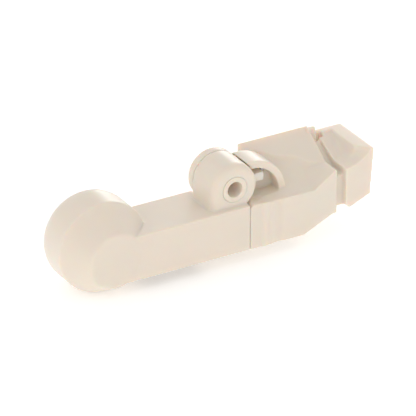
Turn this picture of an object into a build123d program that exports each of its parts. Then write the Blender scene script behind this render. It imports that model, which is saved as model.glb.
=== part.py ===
"""Stair gate latch: a hinged handle that draws a sprung bolt back into a moulded housing.

The origin is the middle of the hinge bore. +X runs along the latch to the bolt's nose,
-Y is the side with the open end of the hood and +Z is up. Sizes are in millimetres.
"""
from build123d import *
import math
import os

os.makedirs("parts", exist_ok=True)

# ---- driving sizes -----------------------------------------------------------------------
body_width = 19.0          # across the handle's arm and the housing
arm_height = 15.7          # of the arm and of the housing's low front ledge
hinge_height = 21.8        # from the underside up to the hinge axis
seam = 4.6                 # from the hinge axis to the joint between handle and housing
knob_reach = 44.8          # from the hinge axis back to the middle of the knob
knob_radius = 15.4
knob_front = 9.6           # in front of the middle
knob_back = 13.4
knob_rise = 11.1           # of the knob's middle above the underside
knob_face_radius = 9.2     # of the flat face at the front
knob_face_shift = 1.2      # of that face towards the hinge
knob_face_drop = 2.4       # of that face below the knob's middle
knob_taper = 7.2           # from the full barrel forward to the flat face
knob_rounding = 7.5        # on the back
knob_softening = 1.5       # on the flat face's rim
core_inset = 12.5          # of the arm's moulding cores from the knob's middle
core_end = 11.5            # of the cores, from the hinge axis
core_count = 2
wall = 2.5                 # of the housing's ends and of the hood
tidy_edge = 0.6            # rounding on moulded edges

# hinge
boss_radius = 8.4
boss_front = 7.6           # the boss's open end, in front of the middle
boss_back = 4.5
ear_back = 7.6             # of the housing's hinge ear, behind the middle
boss_rounding = 2.2
bore_radius = 2.65
bush_radius = 3.4
flange_radius = 4.2
flange_thickness = 0.7
ear_top = 4.0              # of the web that joins the hinge ear to the housing

# housing
crest_height = 28.0        # of the housing's back wall above the underside
crest_start = 6.2          # all four lengths here are measured from the seam
crest_end = 33.8
nose_end = 32.0
tongue_thickness = 1.2     # of the crest's end, which reaches into the bolt's head
ramp_start = 19.9
ramp_end = 30.7
ramp_rise = 4.9
slope_drop = 7.9           # of the top, from the back wall to the front shelf
shelf_width = 6.9          # of the front shelf above the nose
scoop_start = 11.0
scoop_level_end = 23.5
scoop_bottom = 15.0        # above the underside
scoop_sag = 0.3            # of its curve below a straight slope, as a share of its depth
scoop_lean = 1.2           # of its lowest part towards the front
scoop_lip = 0.6            # least depth that is hollowed, and the flat end at the nose
ridge_inset = 3.0          # of the ridge's start from the back
hood_radius = 12.6
hood_middle = 3.2          # from the seam to the hood's axis
hood_rise = 15.6           # of the hood's axis above the underside
hood_front = 4.7           # the hood's open end, in front of the middle
hood_reach = 7.6           # of the hood back over the boss, from the hood's axis
cave_depth = 4.5           # of the hollow under the hood, behind the hood's open end
cave_mouth = 3.0           # of the opening beside the boss, above the hood's axis
rib_at = 5.4
rib_width = 2.8
rib_height = 0.45
flute_at = 10.3
flute_width = 4.2
flute_depth = 0.45

# bolt
handle_lift = 20.0         # degrees
groove_width = 2.9         # between the housing's nose and the bolt's head
head_length = 10.3
head_width = 20.4
head_top = 25.2            # above the underside
head_wall = 4.8            # of the full-height end of the bolt's head
head_side_wall = 2.5       # of the head's back wall
head_lip = 0.6             # of that wall above the dish
head_chamfer = 1.4         # under the head, beside the groove
tip_lean = 1.2             # of the tip's end face
dish_corner = 4.1          # width of the dish's curved front
head_underside = 5.9
head_rise = 3.2
neck_width = 16.6
neck_height = 7.6
neck_bottom = 6.6          # above the underside
neck_back = 25.8           # from the seam
collar_top = 17.4          # of the collar behind the head, above the underside
collar_overlap = 0.3       # of the collar into the housing's nose at rest
shank_radius = 2.3
shank_start = 5.7          # from the seam
guide_start = 11.9         # of the wall that guides the shank, from the seam
guide_thickness = 2.0
coil_radius = 3.1
coil_wire = 0.35           # radius of the wire
coil_turns = 7

# link between handle and bolt
link_thickness = 2.0
link_height = 4.0
pull_drop = 7.5            # from the hinge axis down to the pull pin
pull_pin_radius = 1.25
prong_width = 1.8
prong_rise = 1.4           # of the prongs above the middle of the pull pin
link_pin_radius = 1.0
link_pin_at = 8.2          # from the seam
link_end = 1.8             # of the link beyond the middle of its pin
link_slot_back = 4.6       # of the handle's slot for the link, behind the hinge axis
pin_land = 0.6             # between the link's slot and the pull pin

# detent
detent_flat = 7.55         # from the hinge axis to the flat that the detent rests on
detent_length = 5.0
detent_bottom = -1.3       # from the hinge axis
detent_height = 2.8
detent_front = 3.8
detent_groove = 1.0
detent_travel = 1.0
detent_rounding = 0.4
flat_half = 4.0            # half the height of the boss's flat
leaf_thickness = 0.35
leaf_height = 1.6
leaf_bow = 1.6
leaf_reach = 2.9           # from the middle of the leaf to each end
leaf_seat = 0.3            # of the leaf's front end behind the hollow's back wall

# cover and fixings
cover_thickness = 2.0
bay_width = 8.0
cover_lap = 2.2
screw_radius = 1.1
screw_head_radius = 2.0
screw_length = 6.0
screw_margin = 0.8         # from the guide wall to a screw's head
cover_margin = 0.4         # from a screw's head to the cover's end
cross_length = 2.8         # of the recess in a screw's head
cross_width = 0.6
cross_depth = 0.5
mount_screw_radius = 1.6
mount_screw_depth = 6.0
mount_screw_start = 19.0   # from the seam
mount_screw_pitch = 8.0
mount_screw_rise = 18.6    # above the underside

# clearances
seam_gap = 0.14
running = 0.05             # radial, on the hinge
ear_gap = 0.15             # between the boss and the hinge ear
slide = 0.15               # on each side of a sliding piece
clear = 0.3                # between pieces that pass each other
fit_gap = 0.1              # between fixed pieces that seat in a recess
thread_gap = 0.02          # radial, on a driven screw

# cutting and joining
past = 1.0                 # how far a cut runs past the face that it opens
bite = 1.0                 # how far one shape reaches into the next where they join

# ---- places worked out from the sizes ---------------------------------------------------
bolt_travel = pull_drop * math.sin(math.radians(handle_lift))
floor_z = -hinge_height
arm_top = floor_z + arm_height
half = body_width / 2
handle_end = seam - seam_gap / 2
housing_start = seam + seam_gap / 2
shelf_z = floor_z + crest_height - slope_drop
nose_x = seam + nose_end
head_x = nose_x + groove_width
tip_x = head_x + head_length
neck_x = seam + neck_back
neck_z = floor_z + neck_bottom + neck_height / 2
hood_x = seam + hood_middle
hood_z = floor_z + hood_rise
hood_inner = hood_radius - wall
back_inner = half - wall - clear
crest_z = floor_z + crest_height
overhead = floor_z + 1.5 * crest_height
pull_z = -pull_drop
hub_radius = pull_drop - pull_pin_radius - pin_land
link_top = neck_z + link_height / 2
bay_top = neck_z + neck_height / 2
bay_half = bay_width / 2
guide_x = seam + guide_start
detent_x = detent_flat + slide
detent_top = detent_bottom + detent_height
detent_back = back_inner + detent_groove
tongue_x = seam + crest_end
cave_back = -hood_front + cave_depth
leaf_x = detent_x + detent_length + fit_gap
cover_x0 = seam + wall
screw_x = guide_x + screw_margin + screw_head_radius
cover_x1 = screw_x + screw_head_radius + cover_margin
mount_screw_z = floor_z + mount_screw_rise


def block(x0, x1, y0, y1, z0, z1):
    """A box between two opposite corners."""
    return Pos((x0 + x1) / 2, (y0 + y1) / 2, (z0 + z1) / 2) * Box(x1 - x0, y1 - y0, z1 - z0)


def barrel(radius, y0, y1, x=0.0, z=0.0):
    """A cylinder whose axis runs across the latch."""
    return Pos(x, (y0 + y1) / 2, z) * Rot(90, 0, 0) * Cylinder(radius, y1 - y0)


def rod(radius, x0, x1, y=0.0, z=0.0):
    """A cylinder whose axis runs along the latch."""
    return Pos((x0 + x1) / 2, y, z) * Rot(0, 90, 0) * Cylinder(radius, x1 - x0)


def post(radius, z0, z1, x=0.0, y=0.0):
    """An upright cylinder."""
    return Pos(x, y, (z0 + z1) / 2) * Cylinder(radius, z1 - z0)


def side_profile(points, y0, y1):
    """A solid with one outline, given in X and Z, all the way from y0 to y1."""
    face = Plane.XZ * make_face(Polyline(*points, close=True))
    return Pos(0, y1, 0) * extrude(face, y1 - y0)


def end_profile(points, x0, x1):
    """A solid with one outline, given in Y and Z, all the way from x0 to x1."""
    face = Plane.YZ * make_face(Polyline(*points, close=True))
    return Pos(x0, 0, 0) * extrude(face, x1 - x0)


def save(shape, name):
    export_step(shape, f"parts/{name}.step")


# ---- handle ------------------------------------------------------------------------------
def knob():
    """A barrel, rounded at the back, that tapers to a lower flat face at the front."""
    middle_z = floor_z + knob_rise
    shoulder = -knob_front + knob_taper
    body = barrel(knob_radius, shoulder, knob_back, -knob_reach, middle_z)
    back_rim = body.edges().filter_by(GeomType.CIRCLE).sort_by(Axis.Y)[-1]
    body = fillet(back_rim, knob_rounding)
    front = Plane(origin=(-knob_reach, shoulder, middle_z), z_dir=(0, -1, 0))
    face_middle = (-knob_reach + knob_face_shift, -knob_front, middle_z - knob_face_drop)
    face = Plane(origin=face_middle, z_dir=(0, -1, 0))
    taper = loft([front * Circle(knob_radius), face * Circle(knob_face_radius)])
    face_rim = taper.edges().sort_by(Axis.Y)[0]
    return body + fillet(face_rim, knob_softening)


def hinge_boss():
    body = barrel(boss_radius, -boss_front, boss_back)
    rim = body.edges().filter_by(GeomType.CIRCLE).sort_by(Axis.Y)[0]
    body = fillet(rim, boss_rounding)
    foot = block(-boss_radius, handle_end, -boss_front, boss_back, arm_top - bite, 0)
    corner = foot.edges().filter_by(Axis.Z).group_by(Axis.X)[0].sort_by(Axis.Y)[0]
    return body + fillet(corner, boss_rounding)


def core_pockets():
    """Two rows of moulding cores, open underneath, that leave even walls and ribs."""
    pockets = Part()
    core_width = (body_width - 3 * wall) / 2
    first = -knob_reach + core_inset
    pitch = (-core_end - first + wall) / core_count
    for row in (-1, 1):
        y = row * (core_width + wall) / 2
        for step in range(core_count):
            x0 = first + step * pitch
            x1 = x0 + pitch - wall
            pockets += block(x0, x1, y - core_width / 2, y + core_width / 2, floor_z - past, arm_top - wall)
    return pockets


def handle_lever():
    arm = block(-knob_reach, handle_end, -half, half, floor_z, arm_top)
    arm = fillet(arm.edges().filter_by(Axis.X).group_by(Axis.Z)[0], tidy_edge)
    body = arm + knob() + hinge_boss()
    slot_half = link_thickness / 2 + clear
    slot = block(-link_slot_back, boss_radius + past, -slot_half, slot_half, floor_z - past, 0)
    slot -= barrel(hub_radius, -half, half)
    body -= slot
    body -= barrel(boss_radius + clear, boss_back, half + past)
    body -= barrel(bush_radius + running, -half, half)
    body -= barrel(flange_radius + fit_gap, -boss_front - past, -boss_front + flange_thickness)
    flat_y0 = -detent_front - clear
    body -= block(detent_flat, boss_radius + past, flat_y0, boss_back + past, -flat_half, flat_half)
    body -= barrel(pull_pin_radius, -half + wall, half + past, 0, pull_z)
    return body - core_pockets()


# ---- housing -----------------------------------------------------------------------------
def scoop():
    """The hollow in the top, between the diagonal ridge and the front wall."""
    front = -half - past
    slope = slope_drop / (body_width - shelf_width)

    def section(x, ridge_y, bottom):
        ridge_z = crest_z - slope * (half - ridge_y)
        foot_y = -half + scoop_lip
        middle = (
            (ridge_y + foot_y) / 2 - scoop_lean,
            (ridge_z + bottom) / 2 - scoop_sag * (ridge_z - bottom),
        )
        if ridge_z - bottom < scoop_lip:
            hollow = Line((ridge_y, ridge_z), (foot_y, bottom))
        else:
            hollow = ThreePointArc((ridge_y, ridge_z), middle, (foot_y, bottom))
        rest = Polyline((foot_y, bottom), (front, bottom), (front, overhead), (ridge_y, overhead), (ridge_y, ridge_z))
        face = Plane.YZ * make_face(hollow + rest)
        return Pos(x, 0, 0) * face

    ridge_start = half - ridge_inset
    ridge_end = -half + shelf_width
    level_share = (scoop_level_end - scoop_start) / (nose_end - scoop_start)
    ridge_mid = ridge_start + (ridge_end - ridge_start) * level_share
    low = floor_z + scoop_bottom
    sections = [
        section(seam, ridge_start, arm_top),
        section(seam + scoop_start, ridge_start, low),
        section(seam + scoop_level_end, ridge_mid, low),
        section(seam + nose_end - scoop_lip, ridge_end, shelf_z),
    ]
    return loft(sections, ruled=True)


def housing_outside():
    low = side_profile(
        [
            (housing_start, floor_z),
            (seam + ramp_start, floor_z),
            (seam + ramp_end, floor_z + ramp_rise),
            (nose_x, floor_z + ramp_rise),
            (nose_x, arm_top),
            (housing_start, arm_top),
        ],
        -half,
        half,
    )
    upper = end_profile(
        [
            (half, arm_top - bite),
            (half, crest_z),
            (-half + shelf_width, shelf_z),
            (-half, shelf_z),
            (-half, arm_top - bite),
        ],
        seam + crest_start,
        nose_x,
    )
    tongue = block(nose_x - bite, tongue_x, half - wall, half - wall + tongue_thickness, shelf_z, crest_z)
    return low + upper + tongue - scoop()


def hood():
    shell = barrel(hood_radius, -hood_front, boss_back, hood_x, hood_z)
    return shell & block(hood_x - hood_reach, hood_x + hood_radius, -half, half, hood_z, overhead)


def hinge_ear():
    ear = barrel(boss_radius, boss_back + ear_gap, ear_back)
    web = block(0, seam + crest_start + bite, boss_back + ear_gap, ear_back, arm_top, ear_top)
    web -= block(-past, housing_start, 0, half + past, floor_z, arm_top + clear)
    return ear + web


def latch_housing():
    body = housing_outside() + hood() + hinge_ear()
    # under the hood
    cave = barrel(hood_inner, -hood_front - past, cave_back, hood_x, hood_z)
    cave = cave & block(hood_x - hood_radius, hood_x + hood_radius, -half - past, half, hood_z + clear, overhead)
    body -= cave
    body -= block(housing_start - past, hood_x, -half - past, cave_back, arm_top, hood_z + cave_mouth)
    # hinge
    body -= barrel(boss_radius + clear, -half - past, boss_back + ear_gap)
    body -= barrel(bush_radius, -half, half + past)
    # channel for the detent and its leaf, into the back wall
    detent_low = detent_bottom - fit_gap
    detent_high = detent_top + fit_gap
    body -= block(
        detent_x - clear, detent_x + detent_length + detent_travel + clear,
        cave_back - past, detent_back + slide, detent_low, detent_high,
    )
    body -= block(
        leaf_x, leaf_x + leaf_bow + leaf_thickness + fit_gap,
        cave_back - past, cave_back + 2 * (leaf_reach + leaf_seat), detent_low, detent_high,
    )
    # passages for the link, the shank and the bolt's neck
    half_link = link_thickness / 2 + clear
    body -= block(
        seam - past, seam + wall + past, -half_link, half_link,
        neck_z - link_height / 2 - clear, link_top + clear,
    )
    body -= block(seam + wall, guide_x, -bay_half, bay_half, floor_z - past, bay_top)
    body -= rod(shank_radius + slide, guide_x - past, neck_x, 0, neck_z)
    body -= block(guide_x + guide_thickness, nose_x, -bay_half, bay_half, neck_z - neck_height / 2, bay_top)
    neck_half = neck_width / 2 + slide
    neck_tall = neck_height / 2 + slide
    bore_start = neck_x - bolt_travel - clear
    body -= block(bore_start, nose_x + past, -neck_half, neck_half, neck_z - neck_tall, neck_z + neck_tall)
    body -= collar(nose_x - collar_overlap - bolt_travel - clear, nose_x + past, slide)
    # recess and screw holes for the cover
    lap = bay_half + cover_lap
    body -= block(
        cover_x0 - fit_gap, cover_x1 + fit_gap, -lap - fit_gap, lap + fit_gap,
        floor_z - past, floor_z + cover_thickness,
    )
    for x, y in screw_places():
        body -= post(screw_radius, floor_z, floor_z + cover_thickness + screw_length, x, y)
    # fixing holes in the back
    for step in range(2):
        x = seam + mount_screw_start + step * mount_screw_pitch
        body -= barrel(mount_screw_radius, half - mount_screw_depth, half + past, x, mount_screw_z)
    # soft rib and flute on the front wall
    body += swell(rib_width, rib_height, seam + rib_at, -half, floor_z, arm_top)
    return body - swell(flute_width, flute_depth, seam + flute_at, -half, floor_z - past, shelf_z)


def swell(width, height, x, y, z0, z1):
    """A shallow upright rounding, as wide as given, that stands as high on each side of y."""
    radius = (width**2 / 4 + height**2) / (2 * height)
    front = post(radius, z0, z1, x, y + radius - height)
    back = post(radius, z0, z1, x, y - radius + height)
    return front & back


def screw_places():
    """The two cover screws stand in the solid behind the guide wall."""
    y = bay_half + cover_lap - screw_head_radius
    return ((screw_x, -y), (screw_x, y))


def bottom_cover():
    lap = bay_half + cover_lap
    plate = block(cover_x0, cover_x1, -lap, lap, floor_z, floor_z + cover_thickness - fit_gap)
    for x, y in screw_places():
        plate -= post(screw_radius + fit_gap, floor_z - past, floor_z + cover_thickness + past, x, y)
        plate -= post(screw_head_radius + fit_gap, floor_z - past, floor_z + cover_thickness / 2, x, y)
    return plate


def cover_screws():
    screws = []
    head_z = floor_z + fit_gap
    for x, y in screw_places():
        head = post(screw_head_radius, head_z, head_z + cover_thickness / 2 - fit_gap, x, y)
        for long_x, long_y in ((cross_length, cross_width), (cross_width, cross_length)):
            head -= Pos(x, y, head_z) * Box(long_x, long_y, 2 * cross_depth)
        stem = post(screw_radius - thread_gap, head_z + cross_depth, floor_z + screw_length, x, y)
        screws.append(head + stem)
    return Compound(children=screws)


# ---- hinge pieces ------------------------------------------------------------------------
def pivot_bush():
    tube = barrel(bush_radius, -boss_front, ear_back)
    tube += barrel(flange_radius, -boss_front, -boss_front + flange_thickness - fit_gap)
    return tube - barrel(bore_radius, -half, half + past)


# ---- bolt --------------------------------------------------------------------------------
def head_dish():
    """The dish in the top of the bolt's head, which runs out over the front wall."""
    top = floor_z + head_top
    inner = tip_x - head_wall
    half_head = head_width / 2
    back = half_head - head_side_wall

    def section(y, low, start, end):
        middle = ((start + end) / 2 + (top - low) * scoop_sag / 2, (low + top) / 2 - (top - low) * scoop_sag / 2)
        curve = Line((head_x - past, low), (start, low)) + ThreePointArc((start, low), middle, (end, top))
        rest = Polyline((end, top), (tip_x + past, top), (tip_x + past, overhead), (head_x - past, overhead),
                        (head_x - past, low))
        face = Plane.XZ * make_face(curve + rest)
        return Pos(0, y, 0) * face

    depth = top - shelf_z
    return loft(
        [
            section(-half_head - past, shelf_z, inner - depth, tip_x),
            section(-half_head + dish_corner, shelf_z, inner - depth, inner),
            section(-half + shelf_width, shelf_z, inner - depth, inner),
            section(back, top - head_lip, inner - head_lip, inner),
        ],
        ruled=True,
    )


def bolt_head():
    top = floor_z + head_top
    bottom = floor_z + head_underside
    half_head = head_width / 2
    side = side_profile(
        [
            (head_x, bottom + head_chamfer),
            (head_x + head_chamfer, bottom),
            (tip_x - tip_lean, bottom + head_rise),
            (tip_x, top),
            (head_x, top),
        ],
        -half_head,
        half_head,
    )
    # relief for the housing's tongue
    relief = block(
        head_x - past, tongue_x + bolt_travel + clear,
        half - wall - clear, half - wall + tongue_thickness + clear, shelf_z - clear, top + past,
    )
    return side - head_dish() - relief


def collar(x0, x1, gap):
    """The wide part of the bolt between the nose and the head, or its passage."""
    half_neck = neck_width / 2 + gap
    low = neck_z - neck_height / 2 - gap
    top = floor_z + collar_top + gap
    slope = slope_drop / (body_width - shelf_width)
    bend = -half + shelf_width
    back = half - wall - clear - slide + gap
    return end_profile(
        [
            (-half_neck, low),
            (half_neck, low),
            (half_neck, bay_top + gap),
            (back, bay_top + gap),
            (back, top + slope * (back - bend)),
            (bend, top),
            (-half_neck, top),
        ],
        x0,
        x1,
    )


def bolt():
    neck_tall = neck_height / 2
    neck = block(neck_x, head_x + bite, -neck_width / 2, neck_width / 2, neck_z - neck_tall, neck_z + neck_tall)
    shank = rod(shank_radius, seam + shank_start, neck_x + bite, 0, neck_z)
    body = bolt_head() + neck + collar(nose_x - collar_overlap, head_x + bite, 0) + shank
    slot_half = link_thickness / 2 + fit_gap
    slot_end = seam + link_pin_at + link_end + clear
    tall = shank_radius + past
    body -= block(seam, slot_end, -slot_half, slot_half, neck_z - tall, neck_z + tall)
    return body - barrel(link_pin_radius, -tall, tall, seam + link_pin_at, neck_z)


def bolt_spring():
    start = guide_x + guide_thickness + fit_gap + coil_wire
    length = neck_x - fit_gap - coil_wire - start
    path = Helix(pitch=length / coil_turns, height=length, radius=coil_radius)
    ring = Plane(origin=path @ 0, z_dir=path % 0) * Circle(coil_wire)
    return Pos(start, 0, neck_z) * Rot(0, 90, 0) * sweep(ring, path=path)


def pull_link():
    low = neck_z - link_height / 2
    end = seam + link_pin_at + link_end
    gap = pull_pin_radius + slide
    outer = gap + prong_width
    side = [
        (-outer, low),
        (end, low),
        (end, link_top),
        (outer, link_top),
        (outer, pull_z + prong_rise),
        (gap, pull_z + prong_rise),
        (gap, pull_z - pull_pin_radius - slide),
        (-gap, pull_z - pull_pin_radius - slide),
        (-gap, pull_z + prong_rise),
        (-outer, pull_z + prong_rise),
    ]
    plate = side_profile(side, -link_thickness / 2, link_thickness / 2)
    return plate - barrel(link_pin_radius, -link_thickness, link_thickness, seam + link_pin_at, neck_z)


def pull_pin():
    return barrel(pull_pin_radius, -half + wall, boss_back, 0, pull_z)


def link_pin():
    reach = math.sqrt(shank_radius**2 - link_pin_radius**2)
    return barrel(link_pin_radius, -reach, reach, seam + link_pin_at, neck_z)


# ---- detent ------------------------------------------------------------------------------
def detent_block():
    body = block(detent_x, detent_x + detent_length, -detent_front, detent_back, detent_bottom, detent_top)
    return fillet(body.edges().filter_by(Axis.Z).group_by(Axis.Y)[0], detent_rounding)


def detent_leaf():
    x0 = leaf_x
    middle = cave_back + leaf_seat + leaf_reach
    z0 = (detent_bottom + detent_top - leaf_height) / 2
    far = middle + leaf_reach
    near = middle - leaf_reach
    outer = ThreePointArc((x0 + leaf_bow, near), (x0, middle), (x0 + leaf_bow, far))
    x1 = x0 + leaf_thickness
    inner = ThreePointArc((x1 + leaf_bow, far), (x1, middle), (x1 + leaf_bow, near))
    ends = Line(outer @ 1, inner @ 0) + Line(inner @ 1, outer @ 0)
    strip = make_face(outer + ends + inner)
    return Pos(0, 0, z0) * extrude(strip, leaf_height)


# ---- write every piece -------------------------------------------------------------------
save(handle_lever(), "handle_lever")
save(latch_housing(), "latch_housing")
save(bottom_cover(), "bottom_cover")
save(cover_screws(), "cover_screws")
save(pivot_bush(), "pivot_bush")
save(bolt(), "bolt")
save(bolt_spring(), "bolt_spring")
save(pull_link(), "pull_link")
save(pull_pin(), "pull_pin")
save(link_pin(), "link_pin")
save(detent_block(), "detent_block")
save(detent_leaf(), "detent_leaf")
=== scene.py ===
"""Looks of a stair gate latch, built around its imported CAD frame.

The latch is warm white moulded plastic: a lever with a round knob, a hooded housing and a
sprung bolt. Lengths are in metres in the frame's own axes, and sizes in millimetres are
multiplied by MM.
"""
import math

import bpy
from bpy.props import (
    FloatProperty, FloatVectorProperty, IntProperty, PointerProperty, StringProperty)
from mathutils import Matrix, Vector


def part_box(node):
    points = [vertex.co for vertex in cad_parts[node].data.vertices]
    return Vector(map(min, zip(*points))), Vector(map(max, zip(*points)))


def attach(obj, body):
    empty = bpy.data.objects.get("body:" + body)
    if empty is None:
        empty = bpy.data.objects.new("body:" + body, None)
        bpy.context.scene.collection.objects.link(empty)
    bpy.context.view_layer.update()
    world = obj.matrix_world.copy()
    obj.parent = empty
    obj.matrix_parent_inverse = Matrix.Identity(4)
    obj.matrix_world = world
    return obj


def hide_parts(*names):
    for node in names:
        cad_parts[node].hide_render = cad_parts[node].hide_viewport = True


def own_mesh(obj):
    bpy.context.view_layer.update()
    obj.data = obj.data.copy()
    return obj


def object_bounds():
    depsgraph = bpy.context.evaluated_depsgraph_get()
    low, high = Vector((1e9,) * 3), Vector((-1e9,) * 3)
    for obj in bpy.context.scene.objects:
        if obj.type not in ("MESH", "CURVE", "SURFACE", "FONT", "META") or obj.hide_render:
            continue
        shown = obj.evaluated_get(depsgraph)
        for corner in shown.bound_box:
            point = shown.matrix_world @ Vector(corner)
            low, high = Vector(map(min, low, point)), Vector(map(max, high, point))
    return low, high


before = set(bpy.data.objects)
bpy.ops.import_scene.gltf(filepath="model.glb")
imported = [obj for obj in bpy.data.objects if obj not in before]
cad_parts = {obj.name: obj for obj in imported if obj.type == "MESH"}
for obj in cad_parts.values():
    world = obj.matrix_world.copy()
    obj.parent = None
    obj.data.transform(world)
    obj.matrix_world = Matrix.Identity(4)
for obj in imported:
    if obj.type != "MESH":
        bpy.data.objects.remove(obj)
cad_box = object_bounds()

bl_info = {
    "name": "Stair gate latch",
    "version": (1, 0, 0),
    "blender": (4, 5, 0),
    "location": "View3D > Sidebar > Latch",
    "description": "Moulded pieces, small metal pieces and the stage of a stair gate latch",
    "category": "Object",
}

MM = 0.001
ROUND_SIDES = 96                        # of a turned piece
WIRE_SIDES = 16                         # around the coil spring's wire
COIL_STEPS = 40                         # along one turn of the coil spring
BUSH_EDGE_STEPS = 2
MERGE = 0.002 * MM                      # points of a CAD mesh closer than this are one
FLAT = math.radians(0.5)                # faces that turn less than this are one
ON_PLANE = 0.01 * MM                    # how near a face's middle lies to the plane it is in
AT_AXIS = 0.1 * MM                      # how near a face's middle lies to the hinge's axis
FACES_BACK = 0.9                        # least share of a face's normal that points back
SMOOTH = math.radians(35)               # edges that turn less than this are shaded round
SMOOTH_SKIN = math.radians(60)
SMOOTH_WIRE = math.radians(50)
BUSH_EDGE_ANGLE = math.radians(40)      # edges of the bush that turn more are rounded
EASE = 0.5                              # how far each smoothing step moves a point
NOISE_MIDDLE = {"From Min": 0.3, "From Max": 0.7}   # where most of a noise's values lie
PLASTIC_TONES = (0.965, 1.03)           # darkest and lightest cloud, as shares of the colour
PLASTIC_ROUGH_SPREAD = (-0.04, 0.05)    # around the middle roughness
PLASTIC_HANDLED = 3                     # clouds of gloss are this many times finer than of tone
PLASTIC_GRAIN = {"Strength": 0.25, "Distance": 0.012 * MM}
PLASTIC_INDEX = 1.5                     # index of refraction
PLASTIC_GLOW = 0.9                      # share of the light that enters the plastic
PLASTIC_REACH = (1.0, 0.62, 0.4)        # how far red, green and blue go in it
METAL_TONES = (0.88, 1.08)
METAL_ROUGH_SPREAD = (-0.07, 0.08)
METAL_GRAIN = {"Strength": 0.2, "Distance": 0.01 * MM}
EVEN = (1, 1, 1)                        # a metal's grain that is the same along every axis
ROLLED = (0.15, 1, 1)                   # a metal's grain drawn out along x
FLOOR_SIDE = 6.0
FLOOR_TONE = 0.995
FLOOR_ROUGH = 0.9
FLOOR_GLOW = 0.26
FIBRE_MM = 2.0                          # of the paper floor
SURROUND_TINT = (1.0, 0.995, 0.985, 1.0)
LIGHT_DISTANCE = 0.9
SENSOR_MM = 36.0
CLIP_END = 20.0


# ---- settings ----------------------------------------------------------------------------
class LatchMouldings(bpy.types.PropertyGroup):
    """Edge roundings and colours of the plastic pieces."""
    skin: FloatProperty(
        name="Skin", description="Size of the faces on the large mouldings' skin",
        default=0.3 * MM, unit="LENGTH")
    softness: IntProperty(
        name="Softness", description="How often the skin's edges are eased", default=6)
    kept_faces: FloatProperty(
        name="Kept faces", description="Share of the skin's faces that is kept", default=0.5,
        subtype="FACTOR")
    small_edge: FloatProperty(
        name="Small edge rounding", description="Rounding of the small mouldings' edges",
        default=0.2 * MM, unit="LENGTH")
    edge_steps: IntProperty(name="Edge steps", description="Faces across one rounding", default=3)
    sharp_angle: FloatProperty(
        name="Sharp angle", description="Edges that turn more than this are rounded",
        default=math.radians(32), subtype="ANGLE")
    body_colour: StringProperty(
        name="Body colour", description="sRGB hex of the handle, the housing and the bolt",
        default="#EADFD1")
    # paler than the body colour: painted light that lifts the detent block where it sits in shade
    detent_painted_light_colour: StringProperty(
        name="Detent colour", description="sRGB hex of the detent block", default="#F0E6DA")
    # a little paler than the body colour: painted light that brightens the shaded hinge bore
    bush_painted_light_colour: StringProperty(
        name="Bush colour", description="sRGB hex of the hinge bush", default="#EDE1D2")


class LatchFixings(bpy.types.PropertyGroup):
    """Sizes and colours of the bush, the screws, the pins and the springs."""
    bore: FloatProperty(
        name="Bush bore", description="Radius of the open hinge bore", default=2.65 * MM,
        unit="LENGTH")
    bush: FloatProperty(
        name="Bush radius", description="Radius of the bush's tube", default=3.4 * MM,
        unit="LENGTH")
    flange: FloatProperty(
        name="Flange thickness", description="Thickness of the bush's flange",
        default=0.6 * MM, unit="LENGTH")
    press: FloatProperty(
        name="Press", description="How far the flange closes on its seat", default=0.06 * MM,
        unit="LENGTH")
    bush_edge: FloatProperty(
        name="Bush edge", description="Rounding on the bush's rims", default=0.18 * MM,
        unit="LENGTH")
    wire: FloatProperty(
        name="Wire radius", description="Radius of the coil spring's wire",
        default=0.35 * MM, unit="LENGTH")
    coils: IntProperty(name="Coils", description="Turns of the coil spring", default=7)
    zinc_colour: StringProperty(
        name="Zinc colour", description="sRGB hex of the zinc plated screws", default="#C9CCD0")
    strip_colour: StringProperty(
        name="Strip colour", description="sRGB hex of the stamped steel pieces", default="#BFC1C4")
    wire_colour: StringProperty(
        name="Spring colour", description="sRGB hex of the spring steel", default="#A4A5A8")


class LatchStage(bpy.types.PropertyGroup):
    """Camera, lights and floor."""
    turn: FloatProperty(
        name="Turn", description="Camera's turn from straight in front, towards the knob",
        default=math.radians(30.3), subtype="ANGLE")
    rise: FloatProperty(
        name="Rise", description="Camera's angle above the floor",
        default=math.radians(27.5), subtype="ANGLE")
    distance: FloatProperty(
        name="Distance", description="From the camera to the aim point", default=1.456,
        unit="LENGTH")
    aim: FloatVectorProperty(
        name="Aim", description="The point that the camera looks at",
        default=(-6.08 * MM, -1.11 * MM, -7.74 * MM), subtype="XYZ", unit="LENGTH")
    lens: FloatProperty(name="Lens", description="Focal length in mm", default=400.0)
    floor_gap: FloatProperty(
        name="Floor gap", description="From the lowest point down to the floor",
        default=0.1 * MM, unit="LENGTH")
    floor_colour: StringProperty(
        name="Floor colour", description="sRGB hex of the floor", default="#FCFCFC")
    surround: FloatProperty(
        name="Surround", description="Brightness of the white surround", default=0.84)
    key_from: FloatVectorProperty(
        name="Key from", description="Direction from the aim point to the large softbox",
        default=(-0.95, -0.3, 0.25), subtype="XYZ")
    key_size: FloatProperty(name="Key size", default=0.5, unit="LENGTH")
    key_power: FloatProperty(name="Key power", default=0.5, unit="POWER")
    rim_from: FloatVectorProperty(
        name="Rim from", description="Direction from the aim point to the small softbox",
        default=(0.62, 0.75, 0.2), subtype="XYZ")
    rim_size: FloatProperty(name="Rim size", default=0.3, unit="LENGTH")
    rim_power: FloatProperty(name="Rim power", default=0.9, unit="POWER")


# ---- working by hand, in code ------------------------------------------------------------
def deselect_all():
    bpy.ops.object.select_all(action="DESELECT")


def make_active(piece):
    deselect_all()
    piece.select_set(True)
    bpy.context.view_layer.objects.active = piece


def name_piece(name):
    """Names the primitive that was just added and its mesh."""
    piece = bpy.context.active_object
    piece.name = name
    piece.data.name = name
    return piece


def edit(piece, mode="FACE"):
    """Opens edit mode with nothing selected."""
    make_active(piece)
    bpy.ops.object.mode_set(mode="EDIT")
    bpy.ops.mesh.select_mode(type=mode)
    bpy.ops.mesh.select_all(action="DESELECT")


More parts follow.
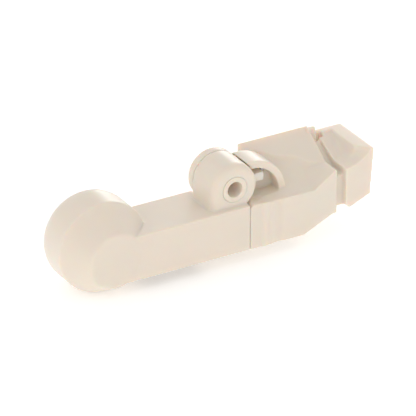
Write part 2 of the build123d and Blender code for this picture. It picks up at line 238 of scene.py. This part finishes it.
def select_faces(piece, wanted):
    """Selects the faces whose middle and normal pass the test, from inside edit mode."""
    bpy.ops.object.mode_set(mode="OBJECT")
    for face in piece.data.polygons:
        face.select = wanted(face.center, face.normal)
    bpy.ops.object.mode_set(mode="EDIT")


def leave_edit():
    bpy.ops.object.mode_set(mode="OBJECT")


def place_in_mesh(piece):
    """Moves an object's place and turn into its mesh."""
    make_active(piece)
    bpy.ops.object.transform_apply(location=True, rotation=True, scale=True)


def finish_with(piece, kind, **settings):
    """Adds a modifier with its settings and applies it."""
    make_active(piece)
    modifier = piece.modifiers.new(kind.title(), kind)
    for key, value in settings.items():
        setattr(modifier, key, value)
    bpy.ops.object.modifier_apply(modifier=modifier.name)


def smooth(piece, angle=SMOOTH):
    make_active(piece)
    bpy.ops.object.shade_smooth_by_angle(angle=angle)


def copy_of_node(node, name):
    """A merged copy of a CAD node's mesh, with its flat faces joined up."""
    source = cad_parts[node]
    piece = bpy.data.objects.new(name, source.data.copy())
    piece.data.name = name
    piece.data.materials.clear()
    bpy.context.scene.collection.objects.link(piece)
    make_active(piece)
    bpy.ops.object.mode_set(mode="EDIT")
    bpy.ops.mesh.select_all(action="SELECT")
    bpy.ops.mesh.remove_doubles(threshold=MERGE)
    bpy.ops.mesh.customdata_custom_splitnormals_clear()
    bpy.ops.mesh.dissolve_limited(angle_limit=FLAT)
    bpy.ops.object.mode_set(mode="OBJECT")
    return piece


def round_edges(piece, width, steps, angle):
    """The soft edges that a moulding tool leaves."""
    finish_with(
        piece, "BEVEL", width=width, segments=steps, limit_method="ANGLE", angle_limit=angle,
        use_clamp_overlap=False, miter_outer="MITER_ARC", harden_normals=False)


def ease_edges(piece, mouldings):
    """Soft edges outside and soft corners inside, as on a thick translucent moulding."""
    finish_with(piece, "TRIANGULATE")
    finish_with(piece, "REMESH", mode="VOXEL", voxel_size=mouldings.skin, use_smooth_shade=True)
    finish_with(piece, "SMOOTH", factor=EASE, iterations=mouldings.softness)
    finish_with(piece, "DECIMATE", ratio=mouldings.kept_faces)
    smooth(piece, SMOOTH_SKIN)


def dress(piece, body, node, material):
    """Gives a finished piece its body and its material, and hides the CAD node that it stands for.
    """
    piece.data.materials.clear()
    piece.data.materials.append(material)
    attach(piece, body)
    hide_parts(node)


def dress_node(node, material):
    """Gives a CAD node that stays its material."""
    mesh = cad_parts[node]
    if not mesh.material_slots:
        raise RuntimeError(f"{node} has no material slot")
    for place in mesh.material_slots:
        place.material = material


# ---- materials ---------------------------------------------------------------------------
def linear(colour):
    """An sRGB hex colour as linear red, green, blue and alpha."""
    parts = [int(colour[i:i + 2], 16) / 255 for i in (1, 3, 5)]
    toned = [c / 12.92 if c <= 0.04045 else ((c + 0.055) / 1.055) ** 2.4 for c in parts]
    return (*toned, 1.0)


def add_node(tree, kind, settings=None, inputs=None):
    """A node with its own settings, and inputs that are values or another node's output."""
    node = tree.nodes.new(kind)
    for key, value in (settings or {}).items():
        setattr(node, key, value)
    for key, value in (inputs or {}).items():
        if isinstance(value, bpy.types.NodeSocket):
            tree.links.new(value, node.inputs[key])
        else:
            node.inputs[key].default_value = value
    return node


def new_material(name):
    material = bpy.data.materials.new(name)
    material.use_nodes = True
    material.node_tree.nodes.clear()
    return material, material.node_tree


def per_metre(size_mm):
    """A pattern's scale on Object coordinates, from its real size."""
    return 1 / (size_mm * MM)


def tinted(colour, factor):
    """A linear colour made lighter or darker."""
    return (*[min(1.0, c * factor) for c in colour[:3]], 1.0)


def moulded_plastic(name, colour, rough, grain_mm, flow_mm, glow_mm):
    """Thermoplastic from a lightly spark-eroded tool.

    The flow of the melt leaves wide, faint clouds of tone, the tool a fine even grain, and a
    little light enters the surface and comes out warmer.
    """
    material, tree = new_material(name)
    base = linear(colour)
    place = add_node(tree, "ShaderNodeTexCoord").outputs["Object"]
    flow = add_node(
        tree, "ShaderNodeTexNoise", {},
        {"Vector": place, "Scale": per_metre(flow_mm), "Detail": 3.0, "Roughness": 0.5})
    tone = add_node(
        tree, "ShaderNodeMix", {"data_type": "RGBA"},
        {"Factor": flow.outputs["Fac"], "A": tinted(base, PLASTIC_TONES[0]),
         "B": tinted(base, PLASTIC_TONES[1])})
    handled = add_node(
        tree, "ShaderNodeTexNoise", {},
        {"Vector": place, "Scale": per_metre(flow_mm / PLASTIC_HANDLED), "Detail": 4.0})
    sheen_spread = add_node(
        tree, "ShaderNodeMapRange", {},
        {"Value": handled.outputs["Fac"], **NOISE_MIDDLE, "To Min": rough + PLASTIC_ROUGH_SPREAD[0],
         "To Max": rough + PLASTIC_ROUGH_SPREAD[1]})
    grain = add_node(
        tree, "ShaderNodeTexNoise", {},
        {"Vector": place, "Scale": per_metre(grain_mm), "Detail": 2.0})
    relief = add_node(
        tree, "ShaderNodeBump", {},
        {"Height": grain.outputs["Fac"], **PLASTIC_GRAIN})
    surface = add_node(
        tree, "ShaderNodeBsdfPrincipled", {"subsurface_method": "RANDOM_WALK"},
        {"Base Color": tone.outputs["Result"], "Roughness": sheen_spread.outputs["Result"],
         "Normal": relief.outputs["Normal"], "IOR": PLASTIC_INDEX,
         "Subsurface Weight": PLASTIC_GLOW, "Subsurface Radius": PLASTIC_REACH,
         "Subsurface Scale": glow_mm * MM})
    add_node(tree, "ShaderNodeOutputMaterial", {}, {"Surface": surface.outputs["BSDF"]})
    return material


def plated_metal(name, colour, rough, grain_mm, stretch):
    """Steel with a thin finish. The grain is drawn out along one axis where it was rolled."""
    material, tree = new_material(name)
    base = linear(colour)
    place = add_node(tree, "ShaderNodeTexCoord").outputs["Object"]
    drawn = add_node(tree, "ShaderNodeMapping", {}, {"Vector": place, "Scale": stretch})
    grain = add_node(
        tree, "ShaderNodeTexNoise", {},
        {"Vector": drawn.outputs["Vector"], "Scale": per_metre(grain_mm), "Detail": 4.0})
    tone = add_node(
        tree, "ShaderNodeMix", {"data_type": "RGBA"},
        {"Factor": grain.outputs["Fac"], "A": tinted(base, METAL_TONES[0]),
         "B": tinted(base, METAL_TONES[1])})
    spread = add_node(
        tree, "ShaderNodeMapRange", {},
        {"Value": grain.outputs["Fac"], **NOISE_MIDDLE, "To Min": rough + METAL_ROUGH_SPREAD[0],
         "To Max": rough + METAL_ROUGH_SPREAD[1]})
    relief = add_node(
        tree, "ShaderNodeBump", {},
        {"Height": grain.outputs["Fac"], **METAL_GRAIN})
    surface = add_node(
        tree, "ShaderNodeBsdfPrincipled", {},
        {"Base Color": tone.outputs["Result"], "Metallic": 1.0,
         "Roughness": spread.outputs["Result"], "Normal": relief.outputs["Normal"]})
    add_node(tree, "ShaderNodeOutputMaterial", {}, {"Surface": surface.outputs["BSDF"]})
    return material


def made_once(name, make):
    """A material by name, made the first time that it is asked for."""
    return bpy.data.materials.get(name) or make(name)


def satin_abs(settings):
    # ABS, injection moulded, satin: soft broad highlights and bright edges at a low angle
    return made_once(
        "abs_satin_warm_white",
        lambda name: moulded_plastic(
            name, settings.body_colour, rough=0.34, grain_mm=0.35, flow_mm=14, glow_mm=1.6))


def satin_nylon(settings):
    # nylon 6, injection moulded: a touch duller than the ABS beside it
    return made_once(
        "nylon_moulded_warm_white",
        lambda name: moulded_plastic(
            name, settings.body_colour, rough=0.38, grain_mm=0.3, flow_mm=10, glow_mm=2.0))


def detent_nylon(settings):
    # nylon 6, natural grade, more waxy; its paler colour is painted light that lifts the block out
    # of the shade of its hollow
    return made_once(
        "nylon_moulded_painted_light",
        lambda name: moulded_plastic(
            name, settings.detent_painted_light_colour, rough=0.36, grain_mm=0.25, flow_mm=6, glow_mm=2.4))


def acetal(settings):
    # acetal, turned smooth: low, even gloss; its slightly paler colour is painted light that
    # brightens the shaded bore
    return made_once(
        "acetal_turned_painted_light",
        lambda name: moulded_plastic(
            name, settings.bush_painted_light_colour, rough=0.3, grain_mm=0.2, flow_mm=6, glow_mm=0.5))


def zinc_plate(settings):
    # zinc plated steel: cool, slightly cloudy
    return made_once(
        "steel_zinc_plated",
        lambda name: plated_metal(
            name, settings.zinc_colour, rough=0.28, grain_mm=0.6, stretch=EVEN))


def stamped_strip(settings):
    # cold rolled strip, stamped and deburred: fine lines along its length
    return made_once(
        "steel_stamped_strip",
        lambda name: plated_metal(
            name, settings.strip_colour, rough=0.34, grain_mm=0.8, stretch=ROLLED))


def spring_wire(settings):
    # drawn spring steel, oiled: darker, with a tight highlight
    return made_once(
        "steel_spring_drawn",
        lambda name: plated_metal(
            name, settings.wire_colour, rough=0.22, grain_mm=0.5, stretch=EVEN))


def floor_paper(colour):
    # matt white paper roll: nearly no gloss
    material, tree = new_material("studio_paper_white")
    place = add_node(tree, "ShaderNodeTexCoord").outputs["Object"]
    fibre = add_node(
        tree, "ShaderNodeTexNoise", {}, {"Vector": place, "Scale": per_metre(FIBRE_MM)})
    base = linear(colour)
    tone = add_node(
        tree, "ShaderNodeMix", {"data_type": "RGBA"},
        {"Factor": fibre.outputs["Fac"], "A": tinted(base, FLOOR_TONE), "B": base})
    surface = add_node(
        tree, "ShaderNodeBsdfPrincipled", {},
        {"Base Color": tone.outputs["Result"], "Roughness": FLOOR_ROUGH,
         "Emission Color": (1, 1, 1, 1), "Emission Strength": FLOOR_GLOW})
    add_node(tree, "ShaderNodeOutputMaterial", {}, {"Surface": surface.outputs["BSDF"]})
    return material


# ---- mouldings ---------------------------------------------------------------------------
class LATCH_OT_handle(bpy.types.Operator):
    """Makes the lever with its knob"""
    bl_idname = "latch.handle"
    bl_label = "Handle lever"

    def execute(self, context):
        mouldings = context.scene.latch_mouldings
        handle = copy_of_node("handle_lever", "handle_lever_moulding")
        ease_edges(handle, mouldings)
        dress(handle, "handle", "handle_lever", satin_abs(mouldings))
        return {"FINISHED"}


class LATCH_OT_housing(bpy.types.Operator):
    """Makes the housing with its hood, scoop and bolt guide"""
    bl_idname = "latch.housing"
    bl_label = "Housing"

    def execute(self, context):
        mouldings = context.scene.latch_mouldings
        housing = copy_of_node("latch_housing", "latch_housing_moulding")
        ease_edges(housing, mouldings)
        dress(housing, "housing", "latch_housing", satin_abs(mouldings))
        return {"FINISHED"}


class LATCH_OT_bolt(bpy.types.Operator):
    """Makes the bolt with its hooked head"""
    bl_idname = "latch.bolt"
    bl_label = "Bolt"

    def execute(self, context):
        mouldings = context.scene.latch_mouldings
        bolt = copy_of_node("bolt", "bolt_moulding")
        ease_edges(bolt, mouldings)
        dress(bolt, "bolt", "bolt", satin_nylon(mouldings))
        return {"FINISHED"}


class LATCH_OT_small_mouldings(bpy.types.Operator):
    """Makes the detent block and the bottom cover"""
    bl_idname = "latch.small_mouldings"
    bl_label = "Detent block and bottom cover"

    def execute(self, context):
        mouldings = context.scene.latch_mouldings
        detent = copy_of_node("detent_block", "detent_block_moulding")
        round_edges(detent, mouldings.small_edge, mouldings.edge_steps, mouldings.sharp_angle)
        smooth(detent)
        dress(detent, "detent", "detent_block", detent_nylon(mouldings))
        cover = copy_of_node("bottom_cover", "bottom_cover_moulding")
        round_edges(cover, mouldings.small_edge, mouldings.edge_steps, mouldings.sharp_angle)
        smooth(cover)
        dress(cover, "housing", "bottom_cover", satin_abs(mouldings))
        return {"FINISHED"}


# ---- hinge, screws and springs -----------------------------------------------------------
class LATCH_OT_bush(bpy.types.Operator):
    """Turns the flanged hinge bush"""
    bl_idname = "latch.bush"
    bl_label = "Pivot bush"

    def execute(self, context):
        fixings = context.scene.latch_fixings
        low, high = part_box("pivot_bush")
        front, back = low[1], high[1]
        flange_radius = high[0] + fixings.press
        deselect_all()
        bpy.ops.mesh.primitive_cylinder_add(
            vertices=ROUND_SIDES, radius=flange_radius, depth=fixings.flange,
            location=(0, front + fixings.flange / 2, 0), rotation=(math.pi / 2, 0, 0))
        bush = name_piece("pivot_bush_turned")
        place_in_mesh(bush)
        edit(bush)
        select_faces(bush, lambda at, normal: normal.y > FACES_BACK)
        bpy.ops.mesh.inset(thickness=flange_radius - fixings.bush)
        bpy.ops.mesh.extrude_region_move(
            TRANSFORM_OT_translate={"value": (0, back - front - fixings.flange, 0)})
        select_faces(bush, lambda at, normal: at.y > back - ON_PLANE)
        bpy.ops.mesh.inset(thickness=fixings.bush - fixings.bore)
        select_faces(bush, lambda at, normal: at.y < front + ON_PLANE)
        bpy.ops.mesh.inset(thickness=flange_radius - fixings.bore)
        ends = (front, back)
        select_faces(
            bush, lambda at, normal: min(abs(at.y - end) for end in ends) < ON_PLANE
            and Vector((at.x, at.z)).length < AT_AXIS)
        bpy.ops.mesh.bridge_edge_loops()
        leave_edit()
        round_edges(bush, fixings.bush_edge, BUSH_EDGE_STEPS, BUSH_EDGE_ANGLE)
        smooth(bush)
        dress(bush, "housing", "pivot_bush", acetal(context.scene.latch_mouldings))
        return {"FINISHED"}


class LATCH_OT_springs(bpy.types.Operator):
    """Winds the coil spring and copies the leaf spring"""
    bl_idname = "latch.springs"
    bl_label = "Springs"

    def execute(self, context):
        fixings = context.scene.latch_fixings
        low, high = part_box("bolt_spring")
        axis_z = (low[2] + high[2]) / 2
        coil_radius = (high[2] - low[2]) / 2 - fixings.wire
        length = high[0] - low[0] - 2 * fixings.wire
        deselect_all()
        bpy.ops.mesh.primitive_circle_add(
            vertices=WIRE_SIDES, radius=fixings.wire, location=(coil_radius, 0, 0),
            rotation=(math.pi / 2, 0, 0))
        coil = name_piece("bolt_spring_coil")
        place_in_mesh(coil)
        finish_with(
            coil, "SCREW", axis="Z", angle=2 * math.pi, screw_offset=length / fixings.coils,
            iterations=fixings.coils, steps=COIL_STEPS, render_steps=COIL_STEPS,
            use_merge_vertices=False)
        edit(coil, "EDGE")
        bpy.ops.mesh.select_non_manifold(extend=False)
        bpy.ops.mesh.edge_face_add()
        bpy.ops.mesh.select_all(action="SELECT")
        bpy.ops.mesh.normals_make_consistent(inside=False)
        leave_edit()
        coil.rotation_euler = (0, math.pi / 2, 0)
        coil.location = (low[0] + fixings.wire, (low[1] + high[1]) / 2, axis_z)
        place_in_mesh(coil)
        smooth(coil, SMOOTH_WIRE)
        dress(coil, "housing", "bolt_spring", spring_wire(fixings))
        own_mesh(coil)
        leaf = copy_of_node("detent_leaf", "detent_leaf_strip")
        smooth(leaf, SMOOTH_WIRE)
        dress(leaf, "housing", "detent_leaf", spring_wire(fixings))
        low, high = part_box("detent_leaf")
        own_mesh(leaf)
        return {"FINISHED"}


class LATCH_OT_metal(bpy.types.Operator):
    """Finishes the screws, the link and the pins"""
    bl_idname = "latch.metal"
    bl_label = "Screws, link and pins"

    def execute(self, context):
        fixings = context.scene.latch_fixings
        for node in ("pull_link", "pull_pin", "link_pin"):
            dress_node(node, stamped_strip(fixings))
        dress_node("cover_screws", zinc_plate(fixings))
        return {"FINISHED"}


# ---- stage -------------------------------------------------------------------------------
def soft_light(name, direction, size, power, aim):
    """A square softbox that stands in a direction from the aim point and faces it."""
    lamp = bpy.data.lights.new(name, "AREA")
    lamp.shape = "SQUARE"
    lamp.size = size
    lamp.energy = power
    holder = bpy.data.objects.new(name, lamp)
    bpy.context.scene.collection.objects.link(holder)
    towards = Vector(direction).normalized()
    holder.location = aim + towards * LIGHT_DISTANCE
    holder.rotation_euler = (-towards).to_track_quat("-Z", "Y").to_euler()


class LATCH_OT_stage(bpy.types.Operator):
    """Sets the floor, the soft lights and the camera"""
    bl_idname = "latch.stage"
    bl_label = "Stage"

    def execute(self, context):
        stage = context.scene.latch_stage
        aim = Vector(stage.aim)
        deselect_all()
        bpy.ops.mesh.primitive_plane_add(
            size=FLOOR_SIDE, location=(0, 0, cad_box[0][2] - stage.floor_gap))
        floor = name_piece("floor")
        place_in_mesh(floor)
        floor.data.materials.append(floor_paper(stage.floor_colour))

        world = bpy.data.worlds.new("studio")
        world.use_nodes = True
        surround = world.node_tree.nodes["Background"]
        surround.inputs["Color"].default_value = SURROUND_TINT
        surround.inputs["Strength"].default_value = stage.surround
        context.scene.world = world
        context.scene.view_settings.view_transform = "Standard"

        soft_light("key", stage.key_from, stage.key_size, stage.key_power, aim)
        soft_light("rim", stage.rim_from, stage.rim_size, stage.rim_power, aim)

        lens = bpy.data.cameras.new("camera")
        lens.lens = stage.lens
        lens.sensor_width = SENSOR_MM
        lens.clip_end = CLIP_END
        camera = bpy.data.objects.new("camera", lens)
        context.scene.collection.objects.link(camera)
        towards = Vector((
            -math.sin(stage.turn) * math.cos(stage.rise),
            -math.cos(stage.turn) * math.cos(stage.rise),
            math.sin(stage.rise),
        ))
        camera.location = aim + towards * stage.distance
        camera.rotation_euler = (-towards).to_track_quat("-Z", "Y").to_euler()
        context.scene.camera = camera
        return {"FINISHED"}


# ---- panel and registration --------------------------------------------------------------
PIECES = (
    LATCH_OT_handle,
    LATCH_OT_housing,
    LATCH_OT_bolt,
    LATCH_OT_small_mouldings,
    LATCH_OT_bush,
    LATCH_OT_springs,
    LATCH_OT_metal,
    LATCH_OT_stage,
)
SETTINGS = (
    ("latch_mouldings", LatchMouldings),
    ("latch_fixings", LatchFixings),
    ("latch_stage", LatchStage),
)


class LATCH_PT_panel(bpy.types.Panel):
    """Lists the latch's pieces and their settings"""
    bl_idname = "LATCH_PT_panel"
    bl_label = "Stair gate latch"
    bl_space_type = "VIEW_3D"
    bl_region_type = "UI"
    bl_category = "Latch"

    def draw(self, context):
        for piece in PIECES:
            self.layout.operator(piece.bl_idname)
        for name, group in SETTINGS:
            box = self.layout.box()
            for setting in group.__annotations__:
                box.prop(getattr(context.scene, name), setting)


def register():
    for name, group in SETTINGS:
        bpy.utils.register_class(group)
        setattr(bpy.types.Scene, name, PointerProperty(type=group))
    for piece in PIECES:
        bpy.utils.register_class(piece)
    bpy.utils.register_class(LATCH_PT_panel)


def unregister():
    bpy.utils.unregister_class(LATCH_PT_panel)
    for piece in reversed(PIECES):
        bpy.utils.unregister_class(piece)
    for name, group in reversed(SETTINGS):
        delattr(bpy.types.Scene, name)
        bpy.utils.unregister_class(group)


def main():
    register()
    bpy.ops.latch.handle()
    bpy.ops.latch.housing()
    bpy.ops.latch.bolt()
    bpy.ops.latch.small_mouldings()
    bpy.ops.latch.bush()
    bpy.ops.latch.springs()
    bpy.ops.latch.metal()
    bpy.ops.latch.stage()


if __name__ == "__main__":
    main()
